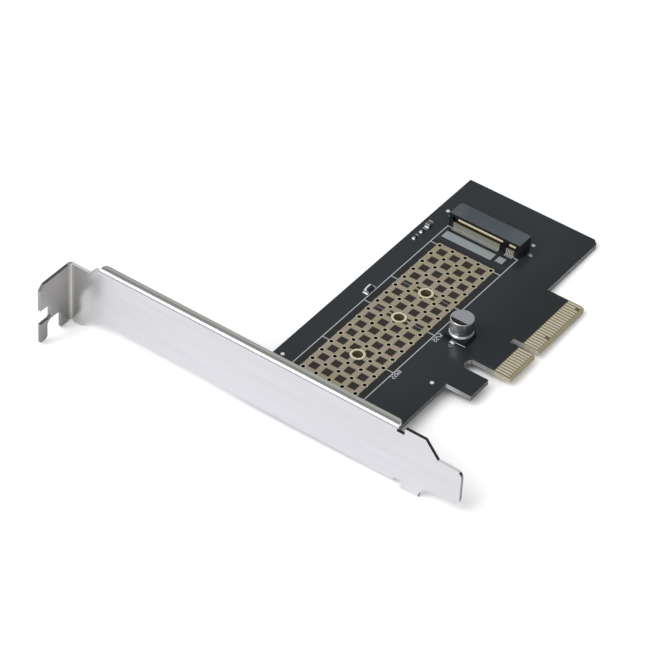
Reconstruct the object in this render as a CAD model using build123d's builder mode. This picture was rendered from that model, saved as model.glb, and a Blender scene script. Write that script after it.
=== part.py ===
from build123d import *
import os

# PCIe x4 adapter card for a plug-in storage module, with a full-height bracket.
# Origin: middle of the key notch, at the tip of the card edge, on the component side.
# X points away from the bracket, Y up the card, Z out of the component side.

# Card edge
contact_pitch = 1.0
contact_width = 0.7
contact_length = 3.7
contact_setback = 1.3  # bare bevel between the contacts and the tip
short_contact_cut = 1.3
short_contacts = (17, 31)
plating = 0.06
contacts_before_key = 11
contacts_after_key = 21
key_width = 1.9
key_depth = 8.0
key_contact_gap = 3.0  # contact centre to contact centre across the key notch
tab_margin = 0.7  # outer contact centre to the side of the tab
bevel_length = 1.2
bevel_depth = 0.35

# Board
board_thickness = 1.57
board_far = 46.9  # key notch to the free end
board_height = 52.1  # tip of the card edge to the top edge
tab_height = 11.5  # tip of the card edge to the lower edge of the board
bracket_reach = 57.15  # key notch to the outer face of the bracket
board_bracket_gap = 1.3
far_corner_cut = 1.3
tab_corner_r = 0.7
leg_width = 7.8
leg_height = 7.4
slot_width = 3.7  # between the contact tab and the leg
slot_rise = 0.9  # how far the slot runs into the board

# Place of the module
module_below_top = 17.15  # top edge of the board to the middle line of the module
module_datum = 31.3  # key notch to the module's plug-in end
module_lengths = (30.0, 42.0, 60.0, 80.0)
standoff_hole_r = 1.43
standoff_ring_r = 2.05
ring_clearance = 0.12
copper = 0.08
ring_height = 0.1

# Thermal pad under the module
via_pitch = 4.0
via_rows = 17
via_columns = 5
via_r = 0.5
via_sides = 6  # so many small holes are cut with flat sides to keep the card light
first_via_row = 12.15  # module datum to the first row
window = 2.4
grid_border = 0.8
spoke_width = 0.45

# Module socket
socket_width = 21.9
socket_depth = 5.3
socket_height = 4.2
socket_inset = 3.55  # module's plug-in end to the front of the socket
jaw_height = 1.55
jaw_lead = 0.2  # how far the lower jaw stands in front of the roof
slot_height = 1.35
slot_back_wall = 1.35
cheek = 0.95
socket_corner_r = 0.9
terminal_recess = 0.3
tip_setback = 0.15
tip_rise = 0.4  # turned-up tips above the underside of the roof
tip_drop = 0.28  # bend of the upper terminals below the underside of the roof
tip_run = 2.0
roof_step = (0.5, 0.45)  # how far in and how high the roof is cut back for the tips
rib_setback = 0.5
socket_pitches = 40  # terminal pitches that the slot is wide
terminal_width = 0.28
terminal_sheet = 0.12
socket_positions = 38
missing_positions = range(29, 33)
socket_key_width = 1.3
socket_key_pitches = 12.25  # module line to the key, in terminal pitches
lower_first_pitches = 18.5  # module line to the first terminal of each row
upper_first_pitches = 18.0
foot_length = 1.1
tail_length = 0.95
lower_run = 3.2
peg_rs = (0.55, 0.8)
peg_in = 1.95  # end of the socket to the middle of its peg
peg_length = 1.2
peg_clearance = 0.05
anchor_width = 1.0
anchor_in = 1.85  # back of the socket to the near side of its solder tabs
anchor_reach = 1.9
anchor_height = 1.5
anchor_sheet = 0.25

# Bracket, one folded sheet
sheet = 0.9
bend_inner_r = 0.3
bracket_width = 18.42
bracket_length = 120.02
bracket_top = 104.82  # outer face of the flange above the tip of the card edge
bracket_rise = 14.47  # component side of the board to the edge of the bracket
lip_depth = 2.65
lip_corner_r = 1.2
lip_top_gap = 9.9  # flange to the start of the lips
lip_bottom = 3.85  # height of the lower end of the lips above the tip
relief = 2.25
relief_depth = 1.6
shoulder_extra = 0.38  # how far the flat shoulder stands past the lips
shoulder_low_extra = 0.5
shoulder_end = -4.4
shoulder_slant = 3.85
shoulder_sweep = 4.4
sweep_start = 0.9
sweep_share = 0.71  # how far the middle of the sweep lies along each of its sides
tongue_width = 10.9
tongue_in = 4.22  # lip edge to the tongue on the component side
tongue_corner_r = 2.0
flange_length = 12.0
flange_drop = 2.8  # flange set over towards the solder side
flange_corner_cut = 1.45
screw_notch_width = 4.42
screw_notch_depth = 3.7
screw_notch_r = 0.6
screw_notch_up = 6.09  # lower edge of the flange to the lower edge of the notch
guide_notch_width = 5.4
guide_notch_r = 1.6
prong_r = 1.2
guide_notch_depth = 5.65
guide_notch_in = 4.0  # bracket face to the near side of the notch
neck_length = 6.77  # flange to the steps of the neck
neck_slope = 1.7
neck_step_gap = 0.57
lobe = 0.55
lobe_top = 1.6
lobe_flat = 1.6
lobe_curve = 5.4
ear_width = 9.0
ear_in = (4.9, 4.7)  # lower and upper edge of the board to the middle of each ear
ear_reach = 10.65
ear_ramp = 1.6
ear_ramp_shift = 0.35
ear_corner_r = 1.2
ear_hole_in = 7.3
screw_r = 1.45
screw_hole_r = 1.6
screw_tap_r = 1.5
screw_head_r = 2.75
screw_head_height = 1.9
screw_head_cut = 0.5
screw_past_ear = 1.2

# Small parts
capacitor_x = -6.2
capacitor_below_line = 16.0
can_r = 3.15
can_height = 5.8
can_groove_depth = 0.3
can_groove_up = 1.75
can_groove_half = 0.35
can_rim = 0.25
base_side = 6.6
base_height = 1.0
base_cut = 1.3
lead_width = 0.9
lead_sheet = 0.2
lead_reach = 4.0
lead_in = 1.2
lead_clearance = 0.1
led_x = -6.8
led_below_top = 5.1
led_length = 3.2
led_width = 1.6
led_base_height = 0.5
led_lens_length = 2.0
led_lens_height = 0.6
led_lens_inset = 0.1
led_lens_taper = 12
chip_below_top = 2.25
resistor_xs = (17.9, 21.2)
resistor_size = (1.6, 0.8, 0.45)
chip_capacitor_x = 24.2
chip_capacitor_size = (2.0, 1.25, 0.85)
chip_end = 0.35
chip_step = 0.03  # how far the end caps stand proud of the body
pad_extra = 0.35
solder = 0.1
fiducial_r = 0.5
fiducial_sides = 8
fiducial_below_top = (2.4, 2.8)
fiducial_above_low = 2.95
fiducial_xs = (-40.3, 32.2, -25.6)

# Print
ink = 0.04
line_width = 0.25
tick_gap = 0.05  # ticks of the printed outline to the lattice
frame_return = 1.35
frame_gap = 0.45  # printed outline to the front of the socket
frame_screw_gap = 0.9  # printed outline to the head of the bracket screw
long_patch_in = 0.1  # side of the slot to the end of the long patch
short_patch_in = 1.3
patch_key_gaps = (0.675, 0.375)  # middle of the key to the long and the short patch
long_patch_depth = 2.8
short_patch_depth = 2.3
patch_gap = 2.35  # patch to the front of the socket

# Worked out from the sizes above
key_contact_half = key_contact_gap / 2
tab_near = -key_contact_half - (contacts_before_key - 1) * contact_pitch - tab_margin
tab_far = key_contact_half + (contacts_after_key - 1) * contact_pitch + tab_margin
leg_far = tab_near - slot_width
module_line = board_height - module_below_top
slot_span = socket_width - 2 * cheek
socket_pitch = slot_span / socket_pitches
socket_key_offset = socket_key_pitches * socket_pitch
leg_near = leg_far - leg_width
bracket_face = -bracket_reach
bracket_inside = bracket_face + sheet
board_near = bracket_inside + board_bracket_gap
socket_front = module_datum - socket_inset
socket_back = socket_front + socket_depth
standoff_xs = [module_datum - length for length in module_lengths]
via_xs = [module_datum - first_via_row - via_pitch * row for row in range(via_rows)]
via_ys = [
    module_line + via_pitch * (column - (via_columns - 1) / 2)
    for column in range(via_columns)
]
grid_middle_x = (via_xs[0] + via_xs[-1]) / 2
bracket_under = bracket_rise - bracket_width
bracket_tip = bracket_top - bracket_length
lip_top = bracket_top - lip_top_gap
bend_outer_r = bend_inner_r + sheet
ear_top = -board_thickness
ear_hole_x = bracket_face + ear_hole_in
rib_y = module_line - socket_key_offset
capacitor_y = module_line - capacitor_below_line
led_y = board_height - led_below_top
chip_y = board_height - chip_below_top
fiducial_ys = [board_height - below for below in fiducial_below_top]
fiducial_ys.append(tab_height + fiducial_above_low)
ear_heights = (tab_height + ear_in[0], board_height - ear_in[1])
grid_half = via_pitch * (via_columns - 1) / 2 + grid_border
tick_length = socket_width / 2 - grid_half - tick_gap


def clear_of_standoffs(x, y):
    """True where a via stands clear of every standoff ring."""
    reach = standoff_ring_r + ring_clearance + via_r
    return all((x - s) ** 2 + (y - module_line) ** 2 > reach**2 for s in standoff_xs)


via_places = [(x, y) for x in via_xs for y in via_ys if clear_of_standoffs(x, y)]
standoff_places = [(x, module_line) for x in standoff_xs]
screw_places = [(ear_hole_x, y) for y in ear_heights]
peg_places = [
    (socket_front + socket_depth / 2, module_line + side * (socket_width / 2 - peg_in))
    for side in (1, -1)
]


def contact_x(number):
    """Middle of a card-edge contact, counted from the bracket."""
    if number <= contacts_before_key:
        return -key_contact_half - (contacts_before_key - number) * contact_pitch
    return key_contact_half + (number - contacts_before_key - 1) * contact_pitch


def ended_xs(centre, length, depth):
    """Middles of the two ends of a chip part that lies along the board."""
    return (centre - (length - depth) / 2, centre + (length - depth) / 2)


def save(part, name):
    """Labels a finished piece and writes it to its own file."""
    part.label = name
    export_step(part, "parts/" + name + ".step")


os.makedirs("parts", exist_ok=True)

# Circuit board with its contact tab, hold-down leg and drilled holes
with BuildPart() as circuit_board:
    with BuildSketch(Plane.XY.offset(-board_thickness)) as board_outline:
        with BuildLine():
            Polyline(
                (board_near, board_height),
                (board_far, board_height),
                (board_far, tab_height + far_corner_cut),
                (board_far - far_corner_cut, tab_height),
                (tab_far, tab_height),
                (tab_far, 0),
                (tab_near, 0),
                (tab_near, tab_height),
                (leg_far, tab_height),
                (leg_far, tab_height - leg_height),
                (leg_near, tab_height - leg_height),
                (leg_near, tab_height),
                (board_near, tab_height),
                close=True,
            )
        make_face()
        tab_corners = board_outline.vertices().filter_by_position(Axis.Y, -0.01, 0.01)
        fillet(tab_corners, radius=tab_corner_r)
        SlotOverall(2 * key_depth, key_width, rotation=90, mode=Mode.SUBTRACT)
        slot_top = tab_height + slot_rise
        with Locations(((tab_near + leg_far) / 2, slot_top - slot_width)):
            SlotOverall(2 * slot_width, slot_width, rotation=90, mode=Mode.SUBTRACT)
        with Locations(*via_places):
            RegularPolygon(via_r, via_sides, major_radius=False, mode=Mode.SUBTRACT)
        with Locations(*standoff_places):
            Circle(standoff_hole_r, mode=Mode.SUBTRACT)
        with Locations(*screw_places):
            Circle(screw_hole_r, mode=Mode.SUBTRACT)
        for place, peg_r in zip(peg_places, peg_rs):
            with Locations(place):
                Circle(peg_r + peg_clearance, mode=Mode.SUBTRACT)
    extrude(amount=board_thickness)
    with BuildSketch(Plane.YZ.offset(tab_near - tab_margin)):
        for surface, outward in ((0, 1), (-board_thickness, -1)):
            with BuildLine():
                Polyline(
                    (2 * bevel_length, surface + outward * bevel_depth),
                    (-bevel_length, surface - outward * 2 * bevel_depth),
                    (-bevel_length, surface + outward * bevel_depth),
                    close=True,
                )
            make_face()
    extrude(amount=tab_far - tab_near + 2 * tab_margin, mode=Mode.SUBTRACT)
save(circuit_board.part, "circuit_board")

# Bare gold lattice that draws heat from the module, open over every via
with BuildPart() as thermal_pad_grid:
    with BuildSketch(Plane.XY):
        with Locations((grid_middle_x, module_line)):
            Rectangle(
                via_pitch * (via_rows - 1) + 2 * grid_border,
                2 * grid_half,
            )
            with GridLocations(via_pitch, via_pitch, via_rows - 1, via_columns - 1):
                Rectangle(window, window, mode=Mode.SUBTRACT)
        with Locations(*standoff_places[:-1]):
            Rectangle(spoke_width, via_pitch + window)
        with Locations(*via_places):
            RegularPolygon(via_r, via_sides, major_radius=False, mode=Mode.SUBTRACT)
        with Locations(*standoff_places[:-1]):
            Circle(standoff_ring_r + ring_clearance, mode=Mode.SUBTRACT)
    extrude(amount=copper)
save(thermal_pad_grid.part, "thermal_pad_grid")

# Plated rings round the four standoff holes
with BuildPart() as standoff_rings:
    with BuildSketch(Plane.XY):
        with Locations(*standoff_places):
            Circle(standoff_ring_r)
            Circle(standoff_hole_r, mode=Mode.SUBTRACT)
    extrude(amount=ring_height)
save(standoff_rings.part, "standoff_rings")

# Gold fingers of the card edge, one set on each face of the tab
contact_numbers = range(1, contacts_before_key + contacts_after_key + 1)
full_places = [
    (contact_x(number), contact_setback + contact_length / 2)
    for number in contact_numbers
    if number not in short_contacts
]
short_length = contact_length - short_contact_cut
short_places = [
    (contact_x(number), contact_setback + contact_length - short_length / 2)
    for number in short_contacts
]
with BuildPart() as edge_contacts_front:
    with BuildSketch(Plane.XY):
        with Locations(*full_places):
            Rectangle(contact_width, contact_length)
        with Locations(*short_places):
            Rectangle(contact_width, short_length)
    extrude(amount=plating)
save(edge_contacts_front.part, "edge_contacts_front")

with BuildPart() as edge_contacts_back:
    with BuildSketch(Plane.XY.offset(-board_thickness)):
        with Locations(*full_places):
            Rectangle(contact_width, contact_length)
        with Locations(*short_places):
            Rectangle(contact_width, short_length)
    extrude(amount=-plating)
save(edge_contacts_back.part, "edge_contacts_back")

# Moulded housing of the module socket: open front, shut back, key rib and two pegs
jaw_front = socket_front - jaw_lead
slot_back = socket_back - slot_back_wall
roof_under = jaw_height + slot_height
with BuildPart() as socket_housing:
    with BuildSketch(Plane.XZ.offset(-module_line)):
        with BuildLine():
            Polyline(
                (jaw_front, 0),
                (socket_back, 0),
                (socket_back, socket_height),
                (socket_front, socket_height),
                (socket_front, jaw_height),
                (jaw_front, jaw_height),
                close=True,
            )
        make_face()
    extrude(amount=socket_width / 2, both=True)
    back_corner = socket_housing.edges().filter_by(Axis.Z).sort_by_distance(
        (socket_back, module_line + socket_width / 2, 0)
    )[0]
    fillet(back_corner, radius=socket_corner_r)
    with BuildSketch(Plane.XZ.offset(-module_line)):
        with BuildLine():
            Polyline(
                (jaw_front - jaw_lead, jaw_height),
                (slot_back, jaw_height),
                (slot_back, roof_under - terminal_sheet),
                (socket_back - terminal_recess, roof_under - terminal_sheet),
                (socket_back - terminal_recess, -jaw_lead),
                (socket_back + jaw_lead, -jaw_lead),
                (socket_back + jaw_lead, roof_under),
                (socket_front + roof_step[0], roof_under),
                (socket_front + roof_step[0], roof_under + roof_step[1]),
                (jaw_front - jaw_lead, roof_under + roof_step[1]),
                close=True,
            )
        make_face()
    extrude(amount=slot_span / 2, both=True, mode=Mode.SUBTRACT)
    with BuildSketch(Plane.XY.offset(jaw_height)):
        with Locations(((socket_front + rib_setback + slot_back) / 2, rib_y)):
            Rectangle(slot_back - socket_front - rib_setback, socket_key_width)
    extrude(amount=slot_height)
    for place, peg_r in zip(peg_places, peg_rs):
        with BuildSketch(Plane.XY):
            with Locations(place):
                Circle(peg_r)
        extrude(amount=-peg_length)
save(socket_housing.part, "socket_housing")


def terminal_planes(first, count):
    """Upright planes through the middle of each terminal in one row."""
    return [
        Plane.XZ.offset(-(module_line + socket_pitch * (first - i)))
        for i in range(count)
        if i not in missing_positions
    ]


# Lower row of socket terminals: foot on the board, up the jaw and into the slot
with BuildPart() as socket_lower_contacts:
    with BuildSketch(*terminal_planes(lower_first_pitches, socket_positions)):
        with BuildLine():
            Polyline(
                (jaw_front - foot_length, 0),
                (jaw_front, 0),
                (jaw_front, jaw_height),
                (jaw_front + lower_run, jaw_height),
                (jaw_front + lower_run, jaw_height + terminal_sheet),
                (jaw_front - terminal_sheet, jaw_height + terminal_sheet),
                (jaw_front - terminal_sheet, terminal_sheet),
                (jaw_front - foot_length, terminal_sheet),
                close=True,
            )
        make_face()
    extrude(amount=terminal_width / 2, both=True)
save(socket_lower_contacts.part, "socket_lower_contacts")

# Upper row of socket terminals: bent tip, under the roof, down the back and out as tails
recess_x = socket_back - terminal_recess
tip_x = socket_front + tip_setback
bend_z = roof_under - tip_drop
with BuildPart() as socket_upper_contacts:
    with BuildSketch(*terminal_planes(upper_first_pitches, socket_positions - 1)):
        with BuildLine():
            Polyline(
                (tip_x, roof_under + tip_rise),
                (tip_x + terminal_sheet, roof_under + tip_rise),
                (tip_x + terminal_sheet, bend_z + terminal_sheet),
                (tip_x + tip_run, roof_under),
                (recess_x + terminal_sheet, roof_under),
                (recess_x + terminal_sheet, terminal_sheet),
                (socket_back + tail_length, terminal_sheet),
                (socket_back + tail_length, 0),
                (recess_x, 0),
                (recess_x, roof_under - terminal_sheet),
                (tip_x + tip_run, roof_under - terminal_sheet),
                (tip_x, bend_z),
                close=True,
            )
        make_face()
    extrude(amount=terminal_width / 2, both=True)
save(socket_upper_contacts.part, "socket_upper_contacts")

# Solder tabs that hold down both ends of the socket
anchor_x = socket_back - anchor_in - anchor_width / 2
with BuildPart() as socket_solder_tabs:
    for side in (1, -1):
        with BuildSketch(Plane.YZ.offset(anchor_x)):
            end = module_line + side * socket_width / 2
            with BuildLine():
                Polyline(
                    (end, 0),
                    (end + side * anchor_reach, 0),
                    (end + side * anchor_reach, anchor_sheet),
                    (end + side * anchor_sheet, anchor_sheet),
                    (end + side * anchor_sheet, anchor_height),
                    (end, anchor_height),
                    close=True,
                )
            make_face()
        extrude(amount=anchor_width / 2, both=True)
save(socket_solder_tabs.part, "socket_solder_tabs")

# Capacitor can, drawn aluminium, crimped near its foot
can_plane = Plane((capacitor_x, capacitor_y, base_height), x_dir=(1, 0, 0), z_dir=(0, -1, 0))
can_rise = can_height - base_height
groove = can_groove_up - base_height
with BuildPart() as capacitor_can:
    with BuildSketch(can_plane):
        with BuildLine():
            Polyline(
                (0, 0),
                (can_r, 0),
                (can_r, groove - can_groove_half),
                (can_r - can_groove_depth, groove),
                (can_r, groove + can_groove_half),
                (can_r, can_rise - can_rim),
                (can_r - can_rim, can_rise),
                (0, can_rise),
                close=True,
            )
        make_face()
    revolve(axis=Axis((capacitor_x, capacitor_y, 0), (0, 0, 1)))
save(capacitor_can.part, "capacitor_can")

# Moulded base under the can, two corners cut on the positive side
with BuildPart() as capacitor_base:
    with BuildSketch(Plane.XY.offset(solder)) as base_outline:
        with Locations((capacitor_x, capacitor_y)):
            Rectangle(base_side, base_side)
        chamfer(base_outline.vertices().group_by(Axis.X)[-1], length=base_cut)
    extrude(amount=base_height - solder)
    with BuildSketch(Plane.XY.offset(solder)):
        with Locations((capacitor_x, capacitor_y)):
            Rectangle(2 * base_side, lead_width + 2 * lead_clearance)
    extrude(amount=lead_sheet, mode=Mode.SUBTRACT)
save(capacitor_base.part, "capacitor_base")

# Flat leads folded out under the capacitor
with BuildPart() as capacitor_leads:
    with BuildSketch(Plane.XY.offset(solder)):
        for side in (1, -1):
            with Locations((capacitor_x + side * (lead_in + lead_reach) / 2, capacitor_y)):
                Rectangle(lead_reach - lead_in, lead_width)
    extrude(amount=lead_sheet)
save(capacitor_leads.part, "capacitor_leads")

# Status light: white base, clear lens and plated ends
with BuildPart() as status_led_base:
    with BuildSketch(Plane.XY.offset(solder)):
        with Locations((led_x, led_y)):
            Rectangle(led_length - 2 * chip_end, led_width)
    extrude(amount=led_base_height)
save(status_led_base.part, "status_led_base")

with BuildPart() as status_led_lens:
    with BuildSketch(Plane.XY.offset(solder + led_base_height)):
        with Locations((led_x, led_y)):
            Rectangle(led_lens_length, led_width - 2 * led_lens_inset)
    extrude(amount=led_lens_height, taper=led_lens_taper)
save(status_led_lens.part, "status_led_lens")

with BuildPart() as status_led_terminals:
    with BuildSketch(Plane.XY.offset(solder)):
        for x in ended_xs(led_x, led_length, chip_end):
            with Locations((x, led_y)):
                Rectangle(chip_end, led_width)
    extrude(amount=led_base_height)
save(status_led_terminals.part, "status_led_terminals")

# Two chip resistors and a chip capacitor beside them, each with plated ends
resistor_length, resistor_width, resistor_height = resistor_size
with BuildPart() as resistor_bodies:
    with BuildSketch(Plane.XY.offset(solder + chip_step)):
        for x in resistor_xs:
            with Locations((x, chip_y)):
                Rectangle(resistor_length - 2 * chip_end, resistor_width - 2 * chip_step)
    extrude(amount=resistor_height - 2 * chip_step)
save(resistor_bodies.part, "resistor_bodies")

with BuildPart() as resistor_ends:
    with BuildSketch(Plane.XY.offset(solder)):
        for centre in resistor_xs:
            for x in ended_xs(centre, resistor_length, chip_end):
                with Locations((x, chip_y)):
                    Rectangle(chip_end, resistor_width)
    extrude(amount=resistor_height)
save(resistor_ends.part, "resistor_ends")

cap_length, cap_width, cap_height = chip_capacitor_size
with BuildPart() as chip_capacitor_body:
    with BuildSketch(Plane.XY.offset(solder + chip_step)):
        with Locations((chip_capacitor_x, chip_y)):
            Rectangle(cap_length - 2 * chip_end, cap_width - 2 * chip_step)
    extrude(amount=cap_height - 2 * chip_step)
save(chip_capacitor_body.part, "chip_capacitor_body")

with BuildPart() as chip_capacitor_ends:
    with BuildSketch(Plane.XY.offset(solder)):
        for x in ended_xs(chip_capacitor_x, cap_length, chip_end):
            with Locations((x, chip_y)):
                Rectangle(chip_end, cap_width)
    extrude(amount=cap_height)
save(chip_capacitor_ends.part, "chip_capacitor_ends")

# Solder pads under the ends of the small parts
chips = [(x, resistor_length, resistor_width) for x in resistor_xs]
chips.append((chip_capacitor_x, cap_length, cap_width))
with BuildPart() as solder_pads:
    with BuildSketch(Plane.XY):
        for centre, length, width in chips:
            reach = length + 2 * pad_extra
            for x in ended_xs(centre, reach, chip_end + pad_extra):
                with Locations((x, chip_y)):
                    Rectangle(chip_end + pad_extra, width)
        for x in ended_xs(led_x, led_length + 2 * pad_extra, chip_end + pad_extra):
            with Locations((x, led_y)):
                Rectangle(chip_end + pad_extra, led_width)
        for side in (1, -1):
            middle = (lead_in + lead_reach + 2 * pad_extra) / 2
            with Locations((capacitor_x + side * middle, capacitor_y)):
                Rectangle(lead_reach - lead_in, lead_width + 2 * pad_extra)
    extrude(amount=solder)
save(solder_pads.part, "solder_pads")

# Three round sighting marks of bare plated copper
with BuildPart() as sighting_dots:
    with BuildSketch(Plane.XY):
        with Locations(*zip(fiducial_xs, fiducial_ys)):
            RegularPolygon(fiducial_r, fiducial_sides)
    extrude(amount=copper)
save(sighting_dots.part, "sighting_dots")

# Printed outline of the module: two long lines, short returns and a tick at each length
frame_near = ear_hole_x + screw_head_r + frame_screw_gap
frame_far = socket_front - frame_gap
tick_xs = [via_xs[0]] + standoff_xs[:-1]
with BuildPart() as legend_lines:
    with BuildSketch(Plane.XY):
        for side in (1, -1):
            line_y = module_line + side * (socket_width / 2)
            with Locations(((frame_near + frame_far) / 2, line_y)):
                Rectangle(frame_far - frame_near, line_width)
            with Locations((frame_far - line_width / 2, line_y - side * frame_return / 2)):
                Rectangle(line_width, frame_return)
            for x in tick_xs:
                with Locations((x, line_y - side * tick_length / 2)):
                    Rectangle(line_width, tick_length)
    extrude(amount=ink)
save(legend_lines.part, "legend_lines")

# Printed patches in front of the socket, one each side of its key
patch_far = socket_front - patch_gap
long_patch = (module_line + slot_span / 2 - long_patch_in, rib_y + patch_key_gaps[0])
short_patch = (rib_y - patch_key_gaps[1], module_line - slot_span / 2 + short_patch_in)
patches = ((long_patch, long_patch_depth), (short_patch, short_patch_depth))
with BuildPart() as legend_patches:
    with BuildSketch(Plane.XY):
        for (top, low), depth in patches:
            with Locations((patch_far - depth / 2, (top + low) / 2)):
                Rectangle(depth, top - low)
    extrude(amount=ink)
save(legend_patches.part, "legend_patches")

# Bracket: one nickel-plated steel sheet, folded into flange, lips and two ears
flange_end = bracket_face - flange_length
flange_high = bracket_rise - flange_drop
flange_low = bracket_under - flange_drop
shoulder_high = bracket_rise + shoulder_extra
shoulder_low = bracket_under - shoulder_low_extra
relief_low = lip_bottom - relief
tongue_high = bracket_rise - tongue_in
tongue_low = tongue_high - tongue_width
sweep_high = shoulder_end + sweep_start
sweep_low = sweep_high - shoulder_sweep
neck_y = bracket_top - neck_length
lobe_y = bracket_top - lobe_top
curve_y = lobe_y - lobe_flat
lip_end = bracket_face + lip_depth
with BuildPart() as mounting_bracket:
    with BuildSketch(Plane.XY.offset(flange_low - lobe)) as strip:
        with BuildLine():
            Polyline(
                (bracket_inside, bracket_tip),
                (bracket_inside, bracket_top),
                (flange_end, bracket_top),
                (flange_end, bracket_top - sheet),
                (bracket_face, bracket_top - sheet),
                (bracket_face, bracket_tip),
                close=True,
            )
        make_face()
        outer = strip.vertices().sort_by_distance((bracket_inside, bracket_top, 0))[0]
        fillet(outer, radius=bend_outer_r)
        inner = strip.vertices().sort_by_distance((bracket_face, bracket_top - sheet, 0))[0]
        fillet(inner, radius=bend_inner_r)
    extrude(amount=shoulder_high - flange_low + lobe)
    with BuildSketch(Plane.YZ.offset(flange_end)) as outline:
        with BuildLine():
            Polyline(
                (bracket_top, flange_low),
                (bracket_top, flange_high),
                (neck_y, flange_high),
                (neck_y - neck_slope, bracket_rise - neck_step_gap),
                (lip_top, bracket_rise - neck_step_gap),
                (lip_top, bracket_rise - relief_depth),
                (relief_low, bracket_rise - relief_depth),
                (relief_low, shoulder_high),
                (shoulder_end, shoulder_high),
                (shoulder_end - shoulder_slant, tongue_high),
                (bracket_tip, tongue_high),
                (bracket_tip, tongue_low),
                (sweep_low, tongue_low),
            )
            ThreePointArc(
                (sweep_low, tongue_low),
                (
                    sweep_low + (sweep_high - sweep_low) * sweep_share,
                    shoulder_low + (tongue_low - shoulder_low) * sweep_share,
                ),
                (sweep_high, shoulder_low),
            )
            Polyline(
                (sweep_high, shoulder_low),
                (relief_low, shoulder_low),
                (relief_low, bracket_under + relief_depth),
                (lip_top, bracket_under + relief_depth),
                (lip_top, bracket_under),
                (curve_y - lobe_curve, bracket_under),
            )
            Spline(
                (curve_y - lobe_curve, bracket_under),
                (curve_y, flange_low - lobe),
                tangents=((1, 0), (1, 0)),
            )
            Polyline(
                (curve_y, flange_low - lobe),
                (lobe_y, flange_low - lobe),
                (lobe_y, flange_low),
                (bracket_top, flange_low),
            )
        make_face()
        tongue_corners = outline.vertices().group_by(Axis.X)[0]
        fillet(tongue_corners, radius=tongue_corner_r)
    extrude(amount=flange_length + sheet, mode=Mode.INTERSECT)
    # Lips along both sides of the face
    with BuildSketch(Plane.XZ.offset(-lip_bottom)) as lips:
        for edge, inward in ((bracket_rise, -1), (bracket_under, 1)):
            with BuildLine():
                Polyline(
                    (bracket_face, edge + inward * relief_depth),
                    (bracket_face, edge),
                    (lip_end, edge),
                    (lip_end, edge + inward * sheet),
                    (bracket_inside, edge + inward * sheet),
                    (bracket_inside, edge + inward * relief_depth),
                    close=True,
                )
            make_face()
        for edge, inward in ((bracket_rise, -1), (bracket_under, 1)):
            outer = lips.vertices().sort_by_distance((bracket_face, edge, 0))[0]
            fillet(outer, radius=bend_outer_r)
            bend = (bracket_inside, edge + inward * sheet, 0)
            inner = lips.vertices().sort_by_distance(bend)[0]
            fillet(inner, radius=bend_inner_r)
    extrude(amount=lip_bottom - lip_top)
    lip_corners = mounting_bracket.edges().filter_by(Axis.Z).filter_by_position(
        Axis.X, lip_end - 0.01, lip_end + 0.01
    )
    fillet(lip_corners, radius=lip_corner_r)
    # Ears that reach from the lower lip to the solder side of the board
    for y in ear_heights:
        with BuildSketch(Plane.XZ.offset(-y)):
            with BuildLine():
                Polyline(
                    (lip_end - lip_corner_r, bracket_under),
                    (lip_end, bracket_under),
                    (lip_end + ear_ramp, ear_top - sheet),
                    (bracket_face + ear_reach, ear_top - sheet),
                    (bracket_face + ear_reach, ear_top),
                    (lip_end + ear_ramp - ear_ramp_shift, ear_top),
                    (lip_end - ear_ramp_shift, bracket_under + sheet),
                    (lip_end - lip_corner_r, bracket_under + sheet),
                    close=True,
                )
            make_face()
        extrude(amount=ear_width / 2, both=True)
    ear_corners = mounting_bracket.edges().filter_by(Axis.Z).group_by(Axis.X)[-1]
    fillet(ear_corners, radius=ear_corner_r)
    with BuildSketch(Plane.XY.offset(ear_top)):
        with Locations(*screw_places):
            Circle(screw_tap_r)
    extrude(amount=-sheet, mode=Mode.SUBTRACT)
    # Notches and corners of the flange
    with BuildSketch(Plane.XZ.offset(-bracket_top)):
        with Locations((flange_end, flange_low + screw_notch_up + screw_notch_width / 2)):
            RectangleRounded(2 * screw_notch_depth, screw_notch_width, screw_notch_r)
        with Locations((bracket_face - guide_notch_in - guide_notch_width / 2, flange_low)):
            RectangleRounded(guide_notch_width, 2 * guide_notch_depth, guide_notch_r)
    extrude(amount=sheet, mode=Mode.SUBTRACT)
    flange_sides = mounting_bracket.edges().filter_by(Axis.Y)
    prong = flange_sides.sort_by_distance(
        (bracket_face - guide_notch_in - guide_notch_width, bracket_top - sheet / 2, flange_low)
    )[0]
    fillet(prong, radius=prong_r)
    flange_sides = mounting_bracket.edges().filter_by(Axis.Y)
    corner = flange_sides.sort_by_distance((flange_end, bracket_top - sheet / 2, flange_high))[0]
    chamfer(corner, length=flange_corner_cut)
save(mounting_bracket.part, "mounting_bracket")

# Two pan-head screws through the board into the ears
screw_end = ear_top - sheet - screw_past_ear
with BuildPart() as bracket_screws:
    with BuildSketch(Plane.XY):
        with Locations(*screw_places):
            Circle(screw_head_r)
    extrude(amount=screw_head_height)
    chamfer(bracket_screws.edges().group_by(Axis.Z)[-1], length=screw_head_cut)
    with BuildSketch(Plane.XY.offset(screw_end)):
        with Locations(*screw_places):
            Circle(screw_r)
    extrude(amount=-screw_end)
save(bracket_screws.part, "bracket_screws")
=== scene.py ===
import math

import bmesh
import bpy
from mathutils import Matrix, Vector


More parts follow.
